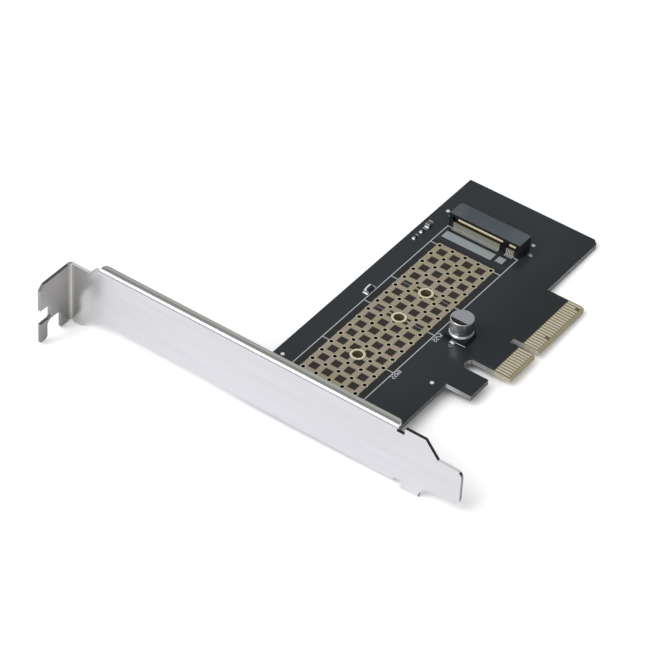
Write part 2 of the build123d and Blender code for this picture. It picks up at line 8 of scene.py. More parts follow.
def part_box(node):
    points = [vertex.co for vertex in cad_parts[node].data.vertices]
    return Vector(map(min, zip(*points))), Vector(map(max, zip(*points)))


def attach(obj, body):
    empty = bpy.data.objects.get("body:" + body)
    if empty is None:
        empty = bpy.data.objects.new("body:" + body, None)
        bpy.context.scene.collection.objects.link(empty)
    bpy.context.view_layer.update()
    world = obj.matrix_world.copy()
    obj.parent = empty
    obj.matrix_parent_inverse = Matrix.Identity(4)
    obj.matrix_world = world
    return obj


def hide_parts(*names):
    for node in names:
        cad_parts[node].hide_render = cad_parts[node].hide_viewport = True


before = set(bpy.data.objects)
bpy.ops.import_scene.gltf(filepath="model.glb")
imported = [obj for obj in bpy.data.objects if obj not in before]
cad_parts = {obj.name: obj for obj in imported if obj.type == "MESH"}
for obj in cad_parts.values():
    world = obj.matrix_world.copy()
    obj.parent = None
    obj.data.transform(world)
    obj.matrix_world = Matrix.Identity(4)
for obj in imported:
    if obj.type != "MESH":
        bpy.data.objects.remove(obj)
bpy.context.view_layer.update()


# The camera stands at the bracket's side of the card and above it, about 0.85 m away, with a
# long lens. Its place and turn were worked out from the card's own holes, contacts and edges.
MM = 0.001
picture_width = 650
focal_pixels = 3387.5
half_pixel = 0.5 / picture_width
standpoint = Vector((-558.07, -309.11, 564.53))
ahead = Vector((0.62393, 0.41749, -0.66062)).normalized()
overhead = Vector((0.51495, 0.41623, 0.74939))
rightward = ahead.cross(overhead).normalized()
overhead = rightward.cross(ahead)
turn = Matrix((rightward, overhead, -ahead)).transposed().to_4x4()
camera = bpy.data.objects.new("camera", bpy.data.cameras.new("camera"))
bpy.context.collection.objects.link(camera)
bpy.context.scene.camera = camera
camera.matrix_world = Matrix.Translation(standpoint * MM) @ turn
camera.data.sensor_width = 36.0
camera.data.lens = camera.data.sensor_width * focal_pixels / picture_width
camera.data.shift_x = -half_pixel
camera.data.shift_y = half_pixel
camera.data.clip_start = 0.05
bpy.context.scene.view_settings.view_transform = "Standard"


# The card lies on a white sweep. It touches at three places: the lobe of the bracket's neck,
# the shoulder's lower corner and the board's far corner, so it leans a little.
neck_lobe = Vector((-56.7, 102.9, -7.3))
shoulder_corner = Vector((-56.7, -3.5, -4.45))
far_corner = Vector((46.9, 12.8, -1.57))
sweep_half = 3000
below_card = 0.05
floor_up = (shoulder_corner - neck_lobe).cross(far_corner - neck_lobe).normalized()
across = floor_up.orthogonal().normalized()
along = floor_up.cross(across)
middle = shoulder_corner - floor_up * below_card
corners = [
    middle + across * sweep_half * i + along * sweep_half * j
    for i, j in ((-1, -1), (1, -1), (1, 1), (-1, 1))
]
floor_mesh = bpy.data.meshes.new("sweep")
floor_mesh.from_pydata([corner * MM for corner in corners], [], [(0, 1, 2, 3)])
sweep = bpy.data.objects.new("sweep", floor_mesh)
bpy.context.collection.objects.link(sweep)


class Value:
    """One output of a shader node. Sums and comparisons on it add Math nodes."""

    def __init__(self, paint, socket):
        self.paint = paint
        self.socket = socket

    def math(self, operation, *terms):
        return self.paint.node("ShaderNodeMath", {"operation": operation}, dict(enumerate(terms)))

    def __add__(self, other):
        return self.math("ADD", self, other)

    __radd__ = __add__

    def __sub__(self, other):
        return self.math("SUBTRACT", self, other)

    def __rsub__(self, other):
        return self.math("SUBTRACT", other, self)

    def __mul__(self, other):
        return self.math("MULTIPLY", self, other)

    __rmul__ = __mul__

    def __pow__(self, exponent):
        return self.math("POWER", self, exponent)

    def __rpow__(self, base):
        return self.math("POWER", base, self)

    def __abs__(self):
        return self.math("ABSOLUTE", self)

    def __gt__(self, other):
        return self.math("GREATER_THAN", self, other)

    def __lt__(self, other):
        return self.math("LESS_THAN", self, other)

    def __and__(self, other):
        return self.math("MINIMUM", self, other)

    __rand__ = __and__

    def __or__(self, other):
        return self.math("MAXIMUM", self, other)

    __ror__ = __or__

    def between(self, low, high):
        return (self > low) & (self < high)

    def from_nearest(self, pitch):
        """How far the value is from the nearest multiple of pitch."""
        return self.math("PINGPONG", self, pitch / 2)

    def fade(self, start, end):
        """0 before start and 1 after end, with a soft step between them."""
        ends = {"Value": self, "From Min": start, "From Max": end}
        settings = {"interpolation_type": "SMOOTHSTEP"}
        return self.paint.node("ShaderNodeMapRange", settings, ends)


class Paint:
    """A material, or the world, and one method that adds each of its nodes."""

    def __init__(self, name, world=False):
        self.owner = bpy.data.worlds.new(name) if world else bpy.data.materials.new(name)
        self.owner.use_nodes = True
        self.tree = self.owner.node_tree
        self.tree.nodes.clear()
        kind = "ShaderNodeOutputWorld" if world else "ShaderNodeOutputMaterial"
        self.end = self.tree.nodes.new(kind).inputs["Surface"]

    def node(self, kind, settings=None, inputs=None, out=0):
        """Adds a node: its settings come first, then the values or links of its sockets."""
        made = self.tree.nodes.new(kind)
        for name, value in (settings or {}).items():
            setattr(made, name, value)
        for name, value in (inputs or {}).items():
            if isinstance(value, Value):
                self.tree.links.new(value.socket, made.inputs[name])
            else:
                made.inputs[name].default_value = value
        return Value(self, made.outputs[out])

    def parts(self, output, axes):
        """The parts of one of the surface's vectors along the axes that are named."""
        vector = self.node("ShaderNodeTexCoord", out=output)
        return [
            self.node("ShaderNodeSeparateXYZ", inputs={0: vector}, out="xyz".index(axis))
            for axis in axes
        ]

    def place(self, axes):
        """Where a point is in the card's own frame, in millimetres."""
        return [part * (1 / MM) for part in self.parts("Object", axes)]

    def facing(self, axes):
        """The way the surface faces, in the card's own frame."""
        return self.parts("Normal", axes)

    def noise(self, scale, detail, stretch=(1, 1, 1)):
        """Mottling with scale spots to a millimetre, closer together where stretch is over 1."""
        spot = self.node("ShaderNodeTexCoord", out="Object")
        spread = {0: spot, 1: [s / MM for s in stretch]}
        drawn = self.node("ShaderNodeVectorMath", {"operation": "MULTIPLY"}, spread)
        inputs = {"Vector": drawn, "Scale": scale, "Detail": detail}
        return self.node("ShaderNodeTexNoise", inputs=inputs)

    def mix(self, share, low, high):
        """A colour between low, where share is 0, and high, where it is 1."""
        low, high = [c if isinstance(c, Value) else shade(c) for c in (low, high)]
        inputs = {0: share, 6: low, 7: high}
        return self.node("ShaderNodeMix", {"data_type": "RGBA"}, inputs, out=2)

    def bump(self, height, depth):
        """Surface relief: height runs from 0 to 1, and depth is in millimetres."""
        inputs = {"Height": height, "Distance": depth * MM, "Strength": 1.0}
        return self.node("ShaderNodeBump", inputs=inputs)

    def cover(self, shader):
        """Makes a shader the outcome of this paint."""
        self.tree.links.new(shader.socket, self.end)
        return self.owner

    def finish(self, **sockets):
        """Ends a material in one Principled shader with these sockets."""
        names = {name.replace("_", " ").title(): value for name, value in sockets.items()}
        names = {name.replace("Ior", "IOR"): value for name, value in names.items()}
        return self.cover(self.node("ShaderNodeBsdfPrincipled", inputs=names))


def shade(colour):
    """Blender's colour for the red, green and blue that a screen shows, 0 to 255."""
    parts = [c / 255 for c in colour]
    return [c / 12.92 if c < 0.04045 else ((c + 0.055) / 1.055) ** 2.4 for c in parts] + [1.0]


paint = Paint("white_sweep")
x, y = paint.place("xy")
seen = paint.node("ShaderNodeLightPath", out="Is Camera Ray")
mirrored = paint.node("ShaderNodeLightPath", out="Is Glossy Ray")
cloth = paint.mix(mirrored, (240, 240, 241), (270, 270, 272))
cloth = paint.mix(seen, cloth, (298, 298, 299))
# Under the standoff holes the cloth is painted brown: painted shade, for the shade under the card
# seen through the holes.
holes_x, holes_y = (-48, 12), (26, 46)
under_holes = x.between(*holes_x) & y.between(*holes_y)
cloth = paint.mix(under_holes, cloth, (320, 305, 230))
sweep_paint = paint.cover(paint.node("ShaderNodeBsdfDiffuse", inputs={"Color": cloth}))
floor_mesh.materials.append(sweep_paint)

# The studio round it is an even white. Two soft boxes light the card: the key from the
# bracket's side, and a weak fill from the side of the card edge.
paint = Paint("studio", world=True)
seen = paint.node("ShaderNodeLightPath", out="Is Camera Ray")
mirrored = paint.node("ShaderNodeLightPath", out="Is Glossy Ray")
in_gloss, on_matt = 0.43, 0.5
level = seen | mirrored * in_gloss | (1 - seen) * (1 - mirrored) * on_matt
white = {"Color": shade((255, 255, 255)), "Strength": level}
bpy.context.scene.world = paint.cover(paint.node("ShaderNodeBackground", inputs=white))
box_size = 1.0
for name, spot, power in (("key", (-0.82, 0.42, 1.05), 8.4), ("fill", (-0.6, -0.9, 0.9), 1.5)):
    lamp = bpy.data.lights.new(name, "AREA")
    lamp.size = box_size
    lamp.energy = power
    lamp_object = bpy.data.objects.new(name, lamp)
    lamp_object.location = spot
    lamp_object.rotation_euler = Vector(spot).to_track_quat("Z", "Y").to_euler()
    bpy.context.collection.objects.link(lamp_object)


# The circuit board is glass laminate pressed with copper foil, drilled, and coated with a
# near-black mask. Routed edges show the bare laminate, and so does the strip at the card edge.
board_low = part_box("circuit_board")[0]
board_thickness = -board_low[2] / MM
grid_low, grid_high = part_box("thermal_pad_grid")
module_line = (grid_low[1] + grid_high[1]) / 2 / MM
via_pitch = 4
via_columns = 5
border = 0.8
grid_half = 8 + border
first_row = grid_high[0] / MM - border
last_row = grid_low[0] / MM + border
module_half = 10.9
tab_near, tab_far = -12.3, 22.3
tab_top = 7.5
mask_end = 4.95
bevel_end = 0.75
leg_middle, leg_far = -18, -14
holes_half, holes_far = 1.6, 3
skin_depth = 0.13

paint = Paint("solder_mask")
x, y, z = paint.place("xyz")
nx, nz = paint.facing("xz")
flat = abs(nz) > 0.5
on_tab = x.between(tab_near, tab_far)
by_module = abs(y - module_line)
fine = paint.noise(3.0, 4)
broad = paint.noise(0.035, 2)
weave = paint.noise(1.2, 3, (1, 1, 9))

# The faces: mask, the windows of the lattice, and the bare strip between and below the fingers.
mask = paint.mix(broad.fade(0.35, 0.65), (31, 36, 39), (38, 44, 48))
# Away from the card edge the mask is painted lighter: painted light.
mask = paint.mix((y - 10).fade(0, 14) * 0.8, mask, (45, 51, 55))
by_grid = x.between(last_row - 2, first_row + 2) & (by_module < module_half)
mask = paint.mix(by_grid * 0.7, mask, (34, 34, 29))
windows = paint.mix(paint.noise(0.23, 1).fade(0.4, 0.6), (48, 38, 38), (40, 40, 30))
windows = paint.mix(fine * 0.3, windows, (58, 52, 46))
in_grid = x.between(last_row - border, first_row + border) & (by_module < grid_half)
mask = paint.mix(in_grid, mask, windows)
bare = (y < mask_end) & on_tab
strip = paint.mix(fine, (100, 90, 60), (116, 106, 76))
bevel = paint.mix(fine, (152, 144, 112), (170, 162, 130))
strip = paint.mix((bevel_end - y).fade(0, 0.2), strip, bevel)
top_colour = paint.mix(bare, mask, strip)

# The edges: laminate between its two skins, routed walls at the leg, the tab, and the holes.
laminate = paint.mix(weave.fade(0.4, 0.62), (84, 85, 85), (178, 179, 178))
# Towards the bracket the laminate edge is painted darker: painted shade.
laminate = paint.mix((leg_far - x).fade(0, 4) * 0.6, laminate, (58, 59, 60))
skin = (z > -skin_depth) | (z < skin_depth - board_thickness)
edge_colour = paint.mix(skin, laminate, (34, 36, 37))
# The routed walls facing the bracket are pale laminate, painted with a gradient along y: painted
# light and shade.
leg_wall = paint.mix((y - 5).fade(0, 7), (160, 161, 160), (220, 221, 221))
slot_wall = paint.mix((y - 5).fade(0, 6), (186, 184, 180), (168, 168, 170))
to_bracket = nx < -0.6
routed = to_bracket & (z > 0.2 - board_thickness)
edge_colour = paint.mix(routed, edge_colour, paint.mix(x > leg_middle, leg_wall, slot_wall))
tab_tip = paint.mix(weave.fade(0.3, 0.7), (146, 140, 118), (182, 175, 154))
# The tab's walls facing the bracket are painted pale, darker towards their upper end: painted
# light and shade.
tab_side = paint.mix(fine, (200, 192, 172), (216, 208, 188))
tab_side = paint.mix((y - 4).fade(0, 2), tab_side, (172, 170, 167))
tab_edge = (y < tab_top) & on_tab
edge_colour = paint.mix(tab_edge, edge_colour, paint.mix(to_bracket, tab_tip, tab_side))
in_holes = (by_module < holes_half) & (x < holes_far)
barrel = paint.mix(fine, (104, 95, 68), (124, 114, 84))
edge_colour = paint.mix(in_grid | in_holes, edge_colour, barrel)
board_paint = paint.finish(
    base_color=paint.mix(flat, edge_colour, top_colour),
    roughness=0.26 + fine * 0.02 + (1 - flat) * 0.4 + bare * 0.15,
    specular_ior_level=0.36,
    normal=paint.bump(fine * 0.04 + weave * (1 - flat), 0.012),
)


def coat(name, material):
    """Gives a piece that comes from the card's solids its finish."""
    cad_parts[name].data.materials.clear()
    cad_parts[name].data.materials.append(material)


coat("circuit_board", board_paint)


# The lattice of bare gold-plated copper draws heat out of the module through a soft pad. Each
# via is drilled and plated through it, with a round land on both faces of the board.
def from_bmesh(name, built, material, smooth=False):
    """Turns a finished bmesh, in millimetres, into a piece fixed to the card."""
    bmesh.ops.recalc_face_normals(built, faces=built.faces[:])
    mesh = bpy.data.meshes.new(name)
    built.to_mesh(mesh)
    built.free()
    mesh.transform(Matrix.Scale(MM, 4))
    for polygon in mesh.polygons:
        polygon.use_smooth = smooth
    mesh.materials.append(material)
    made = bpy.data.objects.new(name, mesh)
    bpy.context.collection.objects.link(made)
    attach(made, "root")
    return made


def lathe(built, centre, profile, steps, reach=lambda angle: 1.0):
    """Adds a turned shape to a bmesh: profile is a row of (radius, height) from the bottom up.

    Where reach is given, it says how far the outline goes at each angle, as a share of the radius.
    """
    angles = [2 * math.pi * i / steps for i in range(steps)]
    turns = [(math.cos(a) * reach(a), math.sin(a) * reach(a)) for a in angles]
    rings = []
    for radius, height in profile:
        if radius == 0:
            rings.append([built.verts.new((centre[0], centre[1], height))] * steps)
        else:
            rings.append([
                built.verts.new((centre[0] + c * radius, centre[1] + s * radius, height))
                for c, s in turns
            ])
    for low, high in zip(rings, rings[1:]):
        for i in range(steps):
            j = (i + 1) % steps
            corners = [low[i], low[j], high[j], high[i]]
            kept = [v for n, v in enumerate(corners) if v not in corners[:n]]
            if len(kept) > 2:
                built.faces.new(kept)
    return rings


grid_top = grid_high[2] / MM
land_top = grid_top + 0.01
land_r = 0.96
hole_r = 0.5
plating_r = 0.485
land_height = 0.04
back = -board_thickness
land_back = back - land_height
ring_reach = 2.67
standoffs = [1.3, -10.7, -28.7, -48.7]
via_profile = [
    (plating_r, land_back), (land_r, land_back), (land_r, back), (hole_r, back), (hole_r, 0.0),
    (land_r, 0.0), (land_r, land_top), (plating_r, land_top), (plating_r, land_back),
]
vias = bmesh.new()
for row in range(round((first_row - last_row) / via_pitch) + 1):
    for column in range(via_columns):
        cx = first_row - via_pitch * row
        cy = module_line + via_pitch * (column - (via_columns - 1) / 2)
        if all((cx - s) ** 2 + (cy - module_line) ** 2 > ring_reach ** 2 for s in standoffs):
            lathe(vias, (cx, cy), via_profile, 24)

paint = Paint("bare_gold")
x, y, z = paint.place("xyz")
[nz] = paint.facing("z")
fine = paint.noise(2.0, 4)
tint = paint.noise(0.1, 2)
off_row = (x - first_row).from_nearest(via_pitch)
off_column = (y - module_line).from_nearest(via_pitch)
from_via = (off_row ** 2.0 + off_column ** 2.0) ** 0.5
gold = paint.mix(tint.fade(0.38, 0.62), (182, 165, 154), (172, 167, 134))
gold = paint.mix(fine * 0.4, gold, (204, 196, 172))
gold = paint.mix(from_via.between(0.56, 0.76), gold, (236, 231, 204))
gold = paint.mix(from_via.between(0.78, 0.88), gold, (150, 142, 116))
# The via holes' walls and the inner rim of each land are painted near black: painted shade of the
# deep holes.
hole_shade = (abs(nz) < 0.5) & (z < 0.07) & (from_via < 0.6) | (from_via < 0.56)
lattice_paint = paint.finish(
    base_color=paint.mix(hole_shade, gold, (26, 18, 10)),
    metallic=0.45 - hole_shade * 0.3,
    roughness=0.4 + fine * 0.14,
    normal=paint.bump(fine, 0.012),
)
via_piece = from_bmesh("via_lands", vias, lattice_paint)
coat("thermal_pad_grid", lattice_paint)


# A bright ring of plated copper stands round each standoff hole. The foot of the standoff
# that holds the module down is screwed against it.
paint = Paint("ring_gold")
fine = paint.noise(1.5, 3)
coat("standoff_rings", paint.finish(
    base_color=paint.mix(fine, (240, 228, 192), (250, 242, 214)),
    metallic=0.4,
    roughness=0.34 + fine * 0.1,
    normal=paint.bump(fine, 0.01),
))


# The gold fingers are hard-gold plated copper on both faces of the tab, and run out onto the
# bevel. Two of each set stop short, and trial fittings leave fine wiping marks along them all.
paint = Paint("finger_gold")
[y] = paint.place("y")
wiped = paint.noise(1.4, 3, (4, 0.25, 1))
gold = paint.mix(wiped.fade(0.3, 0.7), (223, 213, 187), (238, 230, 206))
finger_paint = paint.finish(
    base_color=paint.mix((1.1 - y).fade(0, 0.5) * 0.3, gold, (204, 192, 162)),
    metallic=0.5,
    roughness=0.28 + wiped * 0.16,
    normal=paint.bump(wiped, 0.008),
)


def prism(built, outline, depth):
    """Adds a solid to a bmesh: a flat outline of points, and the vector that it is drawn along."""
    near = [built.verts.new(point) for point in outline]
    far = [built.verts.new(Vector(point) + Vector(depth)) for point in outline]
    built.faces.new(near)
    built.faces.new(far[::-1])
    for i in range(len(near)):
        j = (i + 1) % len(near)
        built.faces.new((near[i], near[j], far[j], far[i]))


bevel_length, bevel_depth = 1.2, 0.35
finger_near, short_near, finger_top = 0.7, 1.9, 4.72
finger_count = 32
finger_width = 0.65
plating = 0.06
short_fingers = (17, 31)
before_key = 11
beside_key = 1.5
for name, node_name, surface, out in (
    ("fingers_front", "edge_contacts_front", 0.0, 1),
    ("fingers_back", "edge_contacts_back", -board_thickness, -1),
):
    fingers = bmesh.new()
    for number in range(1, finger_count + 1):
        past_key = number - before_key
        cx = past_key - beside_key if past_key < 1 else past_key - 1 + beside_key
        near = short_near if number in short_fingers else finger_near
        ridge = [(finger_top, 0.0), (max(near, bevel_length), 0.0)]
        if near < bevel_length:
            ridge.append((near, -bevel_depth * (1 - near / bevel_length)))
        lower = [(v, surface + out * h) for v, h in ridge]
        upper = [(v, surface + out * (h + plating)) for v, h in reversed(ridge)]
        outline = [(cx - finger_width / 2, v, h) for v, h in lower + upper]
        prism(fingers, outline, (finger_width, 0, 0))
    finger_piece = from_bmesh(name, fingers, finger_paint)
    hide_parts(node_name)


# Print is white epoxy ink, screened on the mask: the module's outline with a tick at each
# length, two pale fields before the socket, and small marks and length numbers beside them.
paint = Paint("white_ink")
[y] = paint.place("y")
fine = paint.noise(2.2, 4)
outer = abs(y - module_line)
ink = paint.mix(fine, (186, 189, 193), (206, 208, 212))
ink = paint.mix(outer > 11.4, ink, (236, 238, 240))
ink_paint = paint.finish(
    base_color=paint.mix(outer < 8, ink, (142, 135, 152)),
    roughness=0.6 + fine * 0.1,
    normal=paint.bump(fine, 0.01),
)
coat("legend_lines", ink_paint)

paint = Paint("grey_ink")
[y] = paint.place("y")
fine = paint.noise(1.6, 4)
hatch = y.from_nearest(0.5).fade(0.08, 0.16)
field = paint.mix(fine, (170, 178, 180), (188, 196, 198))
coat("legend_patches", paint.finish(
    base_color=paint.mix(hatch, (132, 140, 142), field),
    roughness=0.62 + fine * 0.1,
    normal=paint.bump(fine, 0.01),
))


def stroke(built, start, end, width=0.16):
    """Adds one flat printed stroke from start to end, squared off past both."""
    ink_height = 0.04
    way = (Vector(end) - Vector(start)).normalized() * width / 2
    side = Vector((-way.y, way.x))
    start, end = Vector(start) - way, Vector(end) + way
    outline = [start - side, end - side, end + side, start + side]
    prism(built, [(p.x, p.y, 0.0) for p in outline], (0, 0, ink_height))


digit_strokes = {
    "0": ((0, 0), (1, 0), (1, 2), (0, 2), (0, 0)),
    "2": ((0, 2), (1, 2), (1, 1), (0, 1), (0, 0), (1, 0)),
    "4": ((0, 2), (0, 1), (1, 1), (1, 2), (1, 0)),
    "6": ((1, 2), (0, 2), (0, 0), (1, 0), (1, 1), (0, 1)),
}
digit_pitch, digit_width, half_digit = 0.92, 0.5, 0.58
marks = bmesh.new()
for length_number, left, foot in (("2260", -30.4, 22.6), ("2242", -12.5, 22.35)):
    for place, digit in enumerate(length_number):
        points = [
            (left + digit_pitch * place + digit_width * u, foot + half_digit * v)
            for u, v in digit_strokes[digit]
        ]
        for start, end in zip(points, points[1:]):
            stroke(marks, start, end)
tick_near, tick_far, tick_width = 5.0, 7.0, 0.22
for tick in standoffs[:2]:
    for side in (1, -1):
        near, far = [(tick, module_line + side * off) for off in (tick_near, tick_far)]
        stroke(marks, near, far, tick_width)
bar_start, bar_end, bar_width = (-9.62, 18.15), (-9.5, 15.6), 0.2
stroke(marks, bar_start, bar_end, bar_width)
ring_mark, ring_mark_r = (-11.3, 18.7), 0.42
around = [math.pi * i / 6 for i in range(13)]
around = [(math.cos(a) * ring_mark_r, math.sin(a) * ring_mark_r) for a in around]
around = [(u + ring_mark[0], v + ring_mark[1]) for u, v in around]
for start, end in zip(around, around[1:]):
    stroke(marks, start, end)
mark_piece = from_bmesh("print_marks", marks, ink_paint)


# The three sighting marks are round spots of plated copper, left open in the mask. The
# machine that sets the small parts finds the board by them.
paint = Paint("dot_gold")
fine = paint.noise(2.0, 3)
dot_paint = paint.finish(
    base_color=paint.mix(fine, (232, 232, 229), (246, 246, 244)),
    metallic=0.1,
    roughness=0.35 + fine * 0.1,
)
foot_r, face_r, dot_height = 0.55, 0.5, 0.08
dot_profile = [(0, 0.0), (foot_r, 0.0), (face_r, dot_height), (0, dot_height)]
dots = bmesh.new()
for centre in ((-40.3, 49.7), (32.2, 49.3), (-25.6, 14.45)):
    lathe(dots, centre, dot_profile, 24)
dot_piece = from_bmesh("sighting_marks", dots, dot_paint)
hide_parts("sighting_dots")


# The module socket is a black liquid-crystal polymer moulding, open in front, with a key
# rib. Two pegs under it stand in holes in the board.
socket_low, socket_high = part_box("socket_housing")
socket_top = socket_high[2] / MM
jaw_front = socket_low[0] / MM
paint = Paint("socket_plastic")
[z] = paint.place("z")
[nz] = paint.facing("z")
fine = paint.noise(2.5, 4)
broad = paint.noise(0.12, 2, (0.3, 1, 1))
on_top = (nz > 0.6) & (z > socket_top - 0.2)
moulded = paint.mix(fine, (18, 20, 23), (27, 30, 33))
# The top is painted lighter than the sides.
lighter_top = paint.mix(broad.fade(0.35, 0.65), (69, 77, 83), (85, 92, 98))
coat("socket_housing", paint.finish(
    base_color=paint.mix(on_top, moulded, lighter_top),
    roughness=0.4 + fine * 0.12,
    normal=paint.bump(fine, 0.015),
))


# The lower terminals are springs blanked from copper alloy strip and flashed with gold. They
# are pressed into the housing, and their feet are soldered to the board.
jaw_depth, jaw_height = 4, 1.75
front_depth, front_height = 0.05, 1.6
paint = Paint("terminal_gold")
x, z = paint.place("xz")
[nz] = paint.facing("z")
fine = paint.noise(2.0, 3)
tail = paint.mix(fine, (240, 230, 186), (252, 245, 212))
foot = paint.mix(fine, (184, 184, 170), (206, 206, 194))
# The bright and dark bands on the springs' uprights are painted highlights and shade, standing in
# for their ridges.
rise = z.from_nearest(0.45).fade(0.08, 0.14)
upright = paint.mix(rise, (148, 146, 134), (255, 254, 244))
leg = paint.mix(nz > 0.5, upright, foot)
# Deeper into the slot the jaw's terminals are painted dark olive: painted shade.
jaw = paint.mix((x - jaw_front).fade(0.1, 0.4), (206, 200, 172), (66, 58, 30))
in_front = (x < jaw_front + front_depth) & (z < front_height)
lower = (z < jaw_height) & (x < jaw_front + jaw_depth)
coat("socket_lower_contacts", paint.finish(
    base_color=paint.mix(lower, tail, paint.mix(in_front, jaw, leg)),
    metallic=0.15,
    roughness=0.3 + fine * 0.12,
))


# The upper terminals are the same gold-flashed strip, pressed into the housing from behind.
# Under the lip they are painted dark: painted shade, where light hardly gets.
lip_depth, lip_foot = 2, 0.5
paint = Paint("spring_gold")
x, z = paint.place("xz")
fine = paint.noise(2.0, 3)
tail = paint.mix(fine, (240, 230, 186), (252, 245, 212))
shaded = paint.mix(fine, (62, 54, 30), (78, 70, 44))
under_lip = (x < jaw_front + lip_depth) & (z > lip_foot)
coat("socket_upper_contacts", paint.finish(
    base_color=paint.mix(under_lip, tail, shaded),
    metallic=0.15,
    roughness=0.3 + fine * 0.12,
))


# Each upper terminal ends in a rolled nose of the same strip, which leads the module in. Its top
# is painted near white, a painted highlight, and its foot darker, a painted shade. The four places
# at the key have none.
paint = Paint("nose_gold")
[z] = paint.place("z")
fine = paint.noise(2.0, 3)
nose_highlight = paint.mix(fine, (246, 241, 208), (255, 251, 228))
nose_paint = paint.finish(
    base_color=paint.mix((z - 2.6).fade(0, 0.5), (216, 190, 120), nose_highlight),
    metallic=0.1,
    roughness=0.25 + fine * 0.1,
)
terminal_pitch = 0.5
nose_count = 36
at_key = range(29, 33)
nose_width = 0.36
nose_front = jaw_front + 0.06
above_line = 8.32
nose_outline = [
    (0.4, 3.42), (0.18, 3.32), (0.05, 3.14), (0.0, 2.92), (0.03, 2.7), (0.14, 2.54), (0.4, 2.5),
]
noses = bmesh.new()
for number in range(1, nose_count + 1):
    nose_y = module_line + above_line - terminal_pitch * number
    if number not in at_key:
        prism(noses, [(nose_front + u, nose_y, v) for u, v in nose_outline], (0, nose_width, 0))
nose_piece = from_bmesh("terminal_noses", noses, nose_paint)


# Between the lower terminals the jaw has ribs, which hold the springs at their pitch. They
# are moulded in one with the socket, and left out at its key.
rib_count = 41
rib_width = 0.16
top_rib = 10.0
key_low, key_high = -7.4, -5.0
rib_outline = [(-0.16, 0.02), (0.0, 0.02), (0.9, 1.5), (0.9, 1.62), (0.1, 1.74), (-0.16, 1.6)]
ribs = bmesh.new()
for number in range(rib_count):
    off_line = top_rib - terminal_pitch * number
    if not key_low < off_line < key_high:
        rib_y = module_line + off_line - rib_width / 2
        prism(ribs, [(jaw_front + u, rib_y, v) for u, v in rib_outline], (0, rib_width, 0))
paint = Paint("rib_plastic")
fine = paint.noise(2.5, 4)
rib_paint = paint.finish(
    base_color=paint.mix(fine, (58, 58, 52), (74, 73, 66)),
    roughness=0.45 + fine * 0.1,
)
rib_piece = from_bmesh("terminal_ribs", ribs, rib_paint)


# The small parts stand on solder pads with plated ends, and the socket with two folded tabs.
# All are tinned. The tabs are painted near black, a painted shade, but for one foot at the
# fingers' end, left bright as the one out of the housing's shade.
paint = Paint("bright_tin")
fine = paint.noise(1.8, 3)
tin_paint = paint.finish(
    base_color=paint.mix(fine, (196, 198, 200), (226, 227, 230)),
    metallic=0.7,
    roughness=0.26 + fine * 0.14,
    normal=paint.bump(fine, 0.015),
)
for name in ("capacitor_leads", "status_led_terminals", "resistor_ends", "chip_capacitor_ends"):
    coat(name, tin_paint)
coat("solder_pads", tin_paint)
socket_end = 10.95
foot_near, foot_height = 1.1, 0.26
paint = Paint("tab_tin")
y, z = paint.place("yz")
fine = paint.noise(1.8, 3)
past_socket = abs(y - module_line) - socket_end
lit_foot = (z < foot_height) & (past_socket > foot_near) & (y < module_line)
tin = paint.mix(fine, (140, 142, 144), (164, 166, 169))
coat("socket_solder_tabs", paint.finish(
    base_color=paint.mix(lit_foot, (40, 42, 45), tin),
    metallic=0.4,
    roughness=0.3 + fine * 0.14,
))


# Solder runs up each end of the small parts in a hollow fillet, set by reflow in an oven. A
# drop of it stands on a bare spot beside the socket.
def fillet(built, corner, run, width, height):
    """Adds one hollow fillet: corner is the foot of the part's end, run points away from it."""
    run = Vector(run)
    side = Vector((-run.y, run.x, 0)).normalized() * width
    outline = [Vector(corner) - side / 2]
    for step in range(6):
        angle = math.radians(90 * step / 5)
        outwards = run * (1 - math.sin(angle))
        up = Vector((0, 0, height * (1 - math.cos(angle))))
        outline.append(Vector(corner) - side / 2 + outwards + up)
    prism(built, outline, side)


pad_top = 0.1
solder = bmesh.new()
for node_name, width, height in (
    ("status_led_terminals", 1.5, 0.42),
    ("capacitor_leads", 0.9, 0.18),
):
    low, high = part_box(node_name)
    part_y = (low[1] + high[1]) / 2 / MM
    for end_x, side in ((low[0] / MM, -1), (high[0] / MM, 1)):
        fillet(solder, (end_x, part_y, pad_top), (side * 0.3, 0, 0), width, height)
low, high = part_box("resistor_ends")
part_y = (low[1] + high[1]) / 2 / MM
for part_x, length, width, height in (
    (17.9, 1.6, 0.76, 0.36),
    (21.2, 1.6, 0.76, 0.36),
    (24.2, 2.0, 1.2, 0.62),
):
    for side in (1, -1):
        end_x = part_x + side * length / 2
        fillet(solder, (end_x, part_y, pad_top), (side * 0.32, 0, 0), width, height)
low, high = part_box("socket_solder_tabs")
tab_x = (low[0] + high[0]) / 2 / MM
for tab_y, side in ((low[1] / MM, -1), (high[1] / MM, 1)):
    fillet(solder, (tab_x, tab_y, 0.02), (0, side * 0.25, 0), 0.6, 0.2)
drop = (34.6, low[1] / MM + 1.9)
drop_profile = [(0, -0.01), (0.58, -0.01), (0.55, 0.1), (0.4, 0.22), (0.2, 0.28), (0, 0.3)]
lathe(solder, drop, drop_profile, 20)
paint = Paint("solder_fillet")
fine = paint.noise(1.8, 3)
fillet_paint = paint.finish(
    base_color=paint.mix(fine, (222, 224, 227), (240, 241, 243)),
    metallic=0.75,
    roughness=0.2 + fine * 0.12,
)
fillet_piece = from_bmesh("solder_fillets", solder, fillet_paint)


